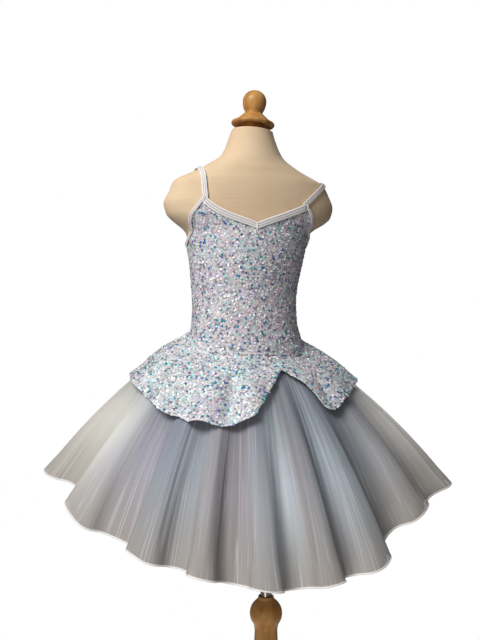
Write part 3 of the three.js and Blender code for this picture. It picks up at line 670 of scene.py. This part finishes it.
# The heights of the cap and the knob are from the top of the neck.
CAP_PROFILE = [
    (0, -5), (18, -5), (18, 10), (30, 10), (32.5, 6), *arc(36.2, 8.4, 3.9, 3.8, -100, 75, 11),
    (33.5, 13.6), (29.5, 17), (25.5, 20.4), (21.8, 23.6), (18.8, 26.2), (17.2, 27.85), (0, 27.85),
]
KNOB_PROFILE = [
    (0, 28.2), (16.8, 28.2), *arc(0, 50.5, 22, 30, -40, 0, 9), *arc(0, 50.5, 22, 20.5, 6, 90, 14),
]
NECK_SLOPE = math.radians(4.5)
NECK_TOP = Matrix.Translation((-27, -3, 1203)) @ Matrix.Rotation(NECK_SLOPE, 4, "Y")
NECK_SLOPE_FROM, NECK_SLOPE_TO = 1130, 1203
TORSO_TOP, TORSO_FOOT = 1197.5, 694.5
TURNED_SIDES, TORSO_SIDES, TORSO_ROWS = 72, 96, 110
TURNED_EDGE, TORSO_EDGE = math.radians(35), math.radians(50)


def turned(profile, stands=Matrix()):
    """A turned piece from rows of (radius, height), with an edge where the profile bends hard."""
    def place(u, v):
        radius, height = profile[round(v * (len(profile) - 1))]
        return stands @ Vector((radius * math.cos(math.tau * u), radius * math.sin(math.tau * u), height))

    shape = cloth(TURNED_SIDES, len(profile) - 1, place, closed=True)
    bmesh.ops.recalc_face_normals(shape, faces=shape.faces)
    for edge in shape.edges:
        edge.smooth = edge.calc_face_angle(0) < TURNED_EDGE
    return shape


def torso():
    """The form from its foot to its neck, whose top slopes as the cap does, closed at both ends."""
    def place(u, v):
        row = min(max(round(v * (TORSO_ROWS + 2)) - 1, 0), TORSO_ROWS)
        z = TORSO_TOP + (TORSO_FOOT - TORSO_TOP) * row / TORSO_ROWS
        p = form_point(360 * u, z)
        if v in (0, 1):
            p = Vector((form_x(z), form_y(z), z))
        slope = math.tan(NECK_SLOPE) * ease(z, NECK_SLOPE_FROM, NECK_SLOPE_TO)
        p.z -= slope * (p.x - form_x(z))
        return p

    shape = cloth(TORSO_SIDES, TORSO_ROWS + 2, place, closed=True)
    bmesh.ops.recalc_face_normals(shape, faces=shape.faces)
    for edge in shape.edges:
        edge.smooth = edge.calc_face_angle(0) < TORSO_EDGE
    return shape


# ------------------------------------------------------------------ pieces of the dress
def bodice_panel(columns, rows, facing, top_edge):
    """The front (facing 0) or back (facing 180) of the bodice, between the side seams."""
    def place(u, v):
        angle = SIDE_SEAM * (2 * u - 1)
        top = top_edge(angle)
        z = top + (seam_height(angle + facing) + GAP - top) * v
        return form_point(angle + facing, z, CLOTH_LIFT)

    return cloth(columns, rows, place)


def petal_lift(angle, along, at_hem):
    """How far a petal stands off the skirt, with its flutes and the creases between them."""
    flutes = sum(
        height * math.cos(min(abs(angle - at) / spread, 1) * math.pi / 2) ** 2
        for at, height, spread in FLUTES
    )
    puff = PETAL_PUFF * math.sin(math.pi * min(along / PETAL_PUFF_LENGTH, 1))
    lift = PETAL_LIFT + puff + (PETAL_HEM_LIFT + flutes) * (along / PETAL_HEM_LENGTH) ** PETAL_HEM_BEND
    for at, start, depth in PETAL_CREASES:
        pressed = ease(along, start, start + PETAL_CREASE_RISE) * (1 - PETAL_CREASE_LOSS_AT_HEM * at_hem)
        lift -= depth * pressed * math.exp(-(((angle - at) / PETAL_CREASE_WIDTH) ** 2))
    return lift


def petal(columns, rows, lengths, first, last):
    """A petal of the peplum, which turns out over its seam and lies on the skirt."""
    length_at = smooth_curve(lengths)

    def place(u, v):
        angle = first + (last - first) * u
        seam = seam_height(angle)
        top = form_point(angle, seam - PETAL_TOP_DROP, CLOTH_LIFT)
        knuckle = form_point(angle, seam - PETAL_KNUCKLE_DROP, SKIRT_LIFT + PETAL_LIFT)
        if v < PETAL_KNUCKLE_SHARE:
            return top.lerp(knuckle, v / PETAL_KNUCKLE_SHARE)
        down = (v - PETAL_KNUCKLE_SHARE) / (1 - PETAL_KNUCKLE_SHARE)
        along = down * (length_at(angle) - PETAL_KNUCKLE)
        waist, hem = skirt_ends(round(angle * 10))
        lift = petal_lift(angle, along, at_hem=ease(v, 0.75, 1))
        return skirt_point(angle, along / (waist - hem).length) + skirt_out(angle) * lift

    return cloth(columns, rows, place)


def band(columns, first, last, facing, edge, width):
    """A strip of binding over a panel's edge, mitred at both ends, with raised ribs along it."""
    step = 0.5

    def edge_point(angle):
        return form_point(angle + facing, edge(angle))

    def place(u, v):
        angle = first + (last - first) * u
        p = edge_point(angle)
        inside = min(max(angle, first + step), last - step)
        along = edge_point(inside + step) - edge_point(inside - step)
        slope = form_slope(p).normalized()
        down = slope.cross(along).normalized()
        if down.z > 0:
            down.negate()
        if angle in (first, last):
            plumb = (Vector((0, 0, -1)) + slope * slope.z).normalized()
            down = plumb / plumb.dot(down)
        return on_form(p + down * (v * width - BINDING_OVERHANG), BINDING_LIFT + ribs(v))

    return cloth(columns, ELASTIC_COLUMNS, place)


def ribs(across):
    """Height of the ribs of elastic, across its width from 0 to 1."""
    return RIB_HEIGHT * abs(math.sin(math.pi * RIB_COUNT * across)) ** RIB_ROUNDING


def strap(front_x, top_x, top_z, back_x, front_z):
    """A strap from the neckline's corner over the shoulder to the back's top edge."""
    back_z = back_top(STRAP_ANGLE_BACK) + GAP

    def centre(v):
        front = v <= 0.5
        rise = math.sin(math.pi * min(v, 1 - v))
        end_x, end_z = (front_x, front_z) if front else (back_x, back_z)
        z = end_z + (top_z - end_z) * rise
        x = end_x + (top_x - end_x) * rise
        across = min(max((x - form_x(z)) / form_width(z), -1), 1)
        depth = form_depth(z) * math.sqrt(1 - across * across)
        return Vector((x, form_y(z) + (-depth if front else depth), z))

    def place(length, width):
        v = (1 + 2 * STRAP_END) * length - STRAP_END
        p = centre(v)
        along = centre(v + STRAP_END) - centre(v - STRAP_END)
        across = along.cross(form_slope(p)).normalized()
        return on_form(p + across * ((width - 0.5) * STRAP_WIDTH), STRAP_LIFT + ribs(width))

    return cloth(STRAP_ROWS, ELASTIC_COLUMNS, place)


def neck_stitch():
    """The short thread that is sewn over the point of the neckline."""
    def place(u, v):
        height = front_top(NECK_TURN) + STITCH_RISE - STITCH_LENGTH * v
        on_neck = form_point(NECK_TURN + STITCH_WIDTH * (u - 0.5), height)
        return on_form(on_neck, FORM_CLEARANCE + STITCH_LIFT - STITCH_BEND * (u - 0.5) ** 2)

    return cloth(4, 10, place)


def tulle(columns, rows, reach, inset, inset_at_hem, gather, seed):
    """One layer of the skirt, with small gathers that press inwards between narrow ridges."""
    def ridge(x):
        return 1 - abs(math.sin(x)) ** 0.8

    def place(u, v):
        return tulle_point(u * len(FOLDS), v * reach)

    shape = cloth(columns, rows, place, closed=True)
    cut = shape.loops.layers.uv["cut"]
    where = {}
    for face in shape.faces:
        for loop in face.loops:
            where[loop.vert] = loop[cut].uv.copy()
    for corner, (u, w) in where.items():
        v = 1 - w
        t = v * reach
        turn = math.tau * u
        drift = 1.4 * math.sin(5 * turn + seed) + 0.9 * math.sin(13 * turn + 2 * seed)
        broad = ridge(GATHERS_BROAD * turn + drift)
        narrow = ridge(GATHERS_NARROW * turn + 2 * drift + 1.5 * v)
        ridges = GATHERS_BROAD_SHARE * broad + (1 - GATHERS_BROAD_SHARE) * narrow
        depth = gather * (GATHERS_AT_WAIST + folding(t)) * (1 - ease(v, GATHERS_END, 1))
        press = depth * (1 - ridges)
        corner.co -= corner.normal * (MM * (inset + (inset_at_hem - inset) * folding(t) + press))
    shape.normal_update()
    return shape


def hem_cord(shape):
    """A round cord along the lowest edge of a layer of tulle."""
    edge = [e for e in shape.edges if e.is_boundary]
    links = {}
    for e in edge:
        for one, other in (e.verts, reversed(e.verts)):
            links.setdefault(one, []).append(other)
    rims = []
    left = dict.fromkeys(links)  # keeps its order, so that each run goes round the same way
    while left:
        loop = [left.popitem()[0]]
        while True:
            onward = [v for v in links[loop[-1]] if v in left]
            if not onward:
                break
            loop.append(onward[0])
            del left[onward[0]]
        rims.append(loop)
    hem = min(rims, key=lambda loop: sum(v.co.z for v in loop) / len(loop))
    path = [v.co.copy() for v in hem]
    cord = bmesh.new()
    bmesh.ops.create_grid(cord, x_segments=len(path), y_segments=8, size=0.5)
    for corner in cord.verts:
        i = round((corner.co.x + 0.5) * len(path)) % len(path)
        around = math.tau * (corner.co.y + 0.5)
        along = (path[(i + 1) % len(path)] - path[i - 1]).normalized()
        side = along.cross(Vector((0, 0, 1))).normalized()
        up = side.cross(along)
        out = side * math.cos(around) + up * math.sin(around)
        corner.co = path[i] - up * (HEM_CORD_DROP * MM) + out * (HEM_CORD_RADIUS * MM)
    bmesh.ops.remove_doubles(cord, verts=cord.verts, dist=1e-6)
    bmesh.ops.recalc_face_normals(cord, faces=cord.faces)
    return cord


# ------------------------------------------------------------------ assembly
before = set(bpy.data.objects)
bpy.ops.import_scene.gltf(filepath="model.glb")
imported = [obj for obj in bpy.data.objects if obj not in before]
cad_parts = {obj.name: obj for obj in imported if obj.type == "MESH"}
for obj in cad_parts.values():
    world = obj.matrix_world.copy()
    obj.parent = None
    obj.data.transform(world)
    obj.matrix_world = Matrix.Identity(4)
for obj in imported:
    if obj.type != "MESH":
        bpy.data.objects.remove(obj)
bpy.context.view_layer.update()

LINEN, WOOD, STEEL = linen_finish(), wood_finish(), steel_finish()
ELASTIC_WHITE, NET = elastic_finish(), net_ground_finish()
SEQUIN_FINISHES, THREAD = sequin_finishes(), thread_finish()

for node, shape, slot, finish in (
    ("form_torso", torso(), "linen", LINEN),
    ("neck_cap", turned(CAP_PROFILE, NECK_TOP), "wood", WOOD),
    ("cap_knob", turned(KNOB_PROFILE, NECK_TOP), "wood", WOOD),
    ("stand_column", turned(COLUMN_PROFILE), "wood", WOOD),
    ("stand_base", turned(BASE_PROFILE), "wood", WOOD),
    ("stand_pole", turned(POLE_PROFILE), "steel", STEEL),
):
    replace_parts(finished(node + "_smooth", shape, slot, finish), node)

rng = random.Random(11)
# A sheet's flat size and area are in metres.
for name, shape, warmth, flat, area in (
    ("bodice_front", bodice_panel(96, 72, 0, front_top), 0.35, (0.30, 0.29), 0.068),
    ("bodice_back", bodice_panel(80, 56, 180, back_top), 0.35, (0.29, 0.22), 0.05),
    ("peplum_petal_right", petal(160, 28, RIGHT_PETAL, -179.88, 12.38), -0.4, (0.62, 0.20), 0.078),
    ("peplum_petal_left", petal(140, 28, LEFT_PETAL, 12.62, 179.88), -0.3, (0.52, 0.20), 0.063),
):
    spots = sequin_spots(shape, rng)
    panel = finished(name + "_net", shape, "sequin_cloth", NET)
    thicken(panel, SEQUIN_CLOTH)
    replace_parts(panel, name)
    glitter = sequins(name + "_sequins", spots, warmth, SEQUIN_FINISHES, rng)
    held = "stretched" if "bodice" in name else "gathered"

for name, first, last, facing, edge, width in (
    ("neck_binding_front", -36.4, 32.4, 0, front_top, NECK_BINDING_WIDTH),
    ("neck_binding_back", -26.4, 26.4, 180, back_top, BINDING_WIDTH),
    ("armhole_binding_front_right", -SIDE_SEAM, -37.6, 0, front_top, BINDING_WIDTH),
    ("armhole_binding_front_left", 33.6, SIDE_SEAM, 0, front_top, BINDING_WIDTH),
    ("armhole_binding_back_left", -SIDE_SEAM, -27.6, 180, back_top, BINDING_WIDTH),
    ("armhole_binding_back_right", 27.6, SIDE_SEAM, 180, back_top, BINDING_WIDTH),
):
    shape = band(round((last - first) * 0.9), first, last, facing, edge, width)
    piece = finished(name + "_elastic", shape, "trim", ELASTIC_WHITE)
    thicken(piece, ELASTIC)
    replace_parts(piece, name)

finished("neck_stitch", neck_stitch(), "trim", THREAD)

for side, row in STRAPS.items():
    piece = finished("strap_" + side + "_elastic", strap(*row), "trim", ELASTIC_WHITE)
    thicken(piece, ELASTIC)
    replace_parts(piece, "strap_" + side)

for name, columns, rows, reach, inset, inset_at_hem, gather, flat, area in (
    ("top", 960, 34, 1.0, 0, 0, 3.2, (1.0, 1.0), 0.74),
    ("middle", 800, 30, 0.995, 2, 8, 3.2, (1.02, 1.02), 0.76),
    ("under", 480, 20, 0.8, 4, 17, 2.5, (0.84, 0.84), 0.5),
):
    shape = tulle(columns, rows, reach, inset, inset_at_hem, gather, len(name))
    cord = hem_cord(shape) if name != "under" else None
    layer = finished("tulle_" + name + "_net", shape, "tulle", tulle_finish(name))
    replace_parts(layer, "tulle_" + name)
    if cord:
        hem = finished("tulle_" + name + "_cord", cord, "trim", THREAD)
        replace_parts(hem, "tulle_" + name + "_hem")


# ------------------------------------------------------------------ floor, light and camera
def soft_light(name, place, target, size, power, colour=(1, 1, 1)):
    """A round lamp that is turned to its target."""
    lamp = bpy.data.lights.new(name, "AREA")
    lamp.shape, lamp.size, lamp.energy, lamp.color = "DISK", size, power, colour
    light = bpy.data.objects.new(name, lamp)
    light.location = place
    light.rotation_euler = (Vector(place) - Vector(target)).to_track_quat("Z", "Y").to_euler()
    bpy.context.scene.collection.objects.link(light)


def pale_floor():
    """A round pale floor that fades out into the white room."""
    shape = bmesh.new()
    bmesh.ops.create_circle(shape, cap_ends=True, segments=64, radius=0.65)
    piece = bpy.data.meshes.new("floor")
    shape.to_mesh(piece)
    shape.free()
    pale = Finish("pale_floor", Roughness=0.9, Emission_Strength=0.3)
    pale.shader.inputs["Emission Color"].default_value = (1, 1, 1, 1)
    speck = pale.noise(pale.place((1, 1, 1)), 3, 2)
    pale.ramp(speck, [(0.3, (0.88, 0.88, 0.88)), (0.7, (0.92, 0.92, 0.92))], "Base Color")
    rings = pale.nodes.new("ShaderNodeTexGradient")
    rings.gradient_type = "SPHERICAL"
    pale.links.new(pale.place((1.6, 1.6, 1.6)), rings.inputs["Vector"])
    pale.ramp(rings.outputs["Fac"], [(0.0, (0.0,)), (0.5, (1.0,))], "Alpha")
    piece.materials.append(pale.material)
    floor = bpy.data.objects.new("floor", piece)
    bpy.context.scene.collection.objects.link(floor)


def white_room(light, sight):
    """A world that lights the object softly and looks white behind it."""
    world = bpy.data.worlds.new("white_room")
    world.use_nodes = True
    nodes, links = world.node_tree.nodes, world.node_tree.links
    seen = nodes.new("ShaderNodeLightPath")
    strength = nodes.new("ShaderNodeMath")
    strength.operation = "MULTIPLY_ADD"
    links.new(seen.outputs["Is Camera Ray"], strength.inputs[0])
    strength.inputs[1].default_value = sight - light
    strength.inputs[2].default_value = light
    links.new(strength.outputs["Value"], nodes["Background"].inputs["Strength"])
    nodes["Background"].inputs["Color"].default_value = (1, 1, 1, 1)
    bpy.context.scene.world = world


pale_floor()
white_room(light=0.11, sight=1.0)
bpy.context.scene.view_settings.view_transform = "Standard"
DRESS_MIDDLE = (-0.04, 0, 0.85)
soft_light("window", (-1.68, -1.15, 2.6), DRESS_MIDDLE, 1.3, 62, (1, 0.985, 0.96))
soft_light("ceiling", (0, -0.5, 2.9), DRESS_MIDDLE, 1.6, 5)
soft_light("room", (-0.9, -2.1, 0.4), DRESS_MIDDLE, 1, 2.5, (1, 0.97, 0.93))
soft_light("back", (0.4, 2.4, 1.7), DRESS_MIDDLE, 1.4, 16)
soft_light("foot", (-0.6, -0.95, 0.14), (0, 0, 0.31), 0.5, 2.2, (1, 0.97, 0.93))

CAMERA_TURN = math.radians(-15)
CAMERA_DISTANCE, CAMERA_SIDE, CAMERA_HEIGHT = 1.5, -0.0483, 0.85
LENS, SENSOR = 45.4, 36
lens = bpy.data.cameras.new("camera")
lens.lens, lens.sensor_width = LENS, SENSOR
camera = bpy.data.objects.new("camera", lens)
camera.location = (
    math.sin(CAMERA_TURN) * CAMERA_DISTANCE + math.cos(CAMERA_TURN) * CAMERA_SIDE,
    -math.cos(CAMERA_TURN) * CAMERA_DISTANCE + math.sin(CAMERA_TURN) * CAMERA_SIDE,
    CAMERA_HEIGHT,
)
camera.rotation_euler = (math.pi / 2, 0, CAMERA_TURN)
bpy.context.scene.collection.objects.link(camera)
bpy.context.scene.camera = camera
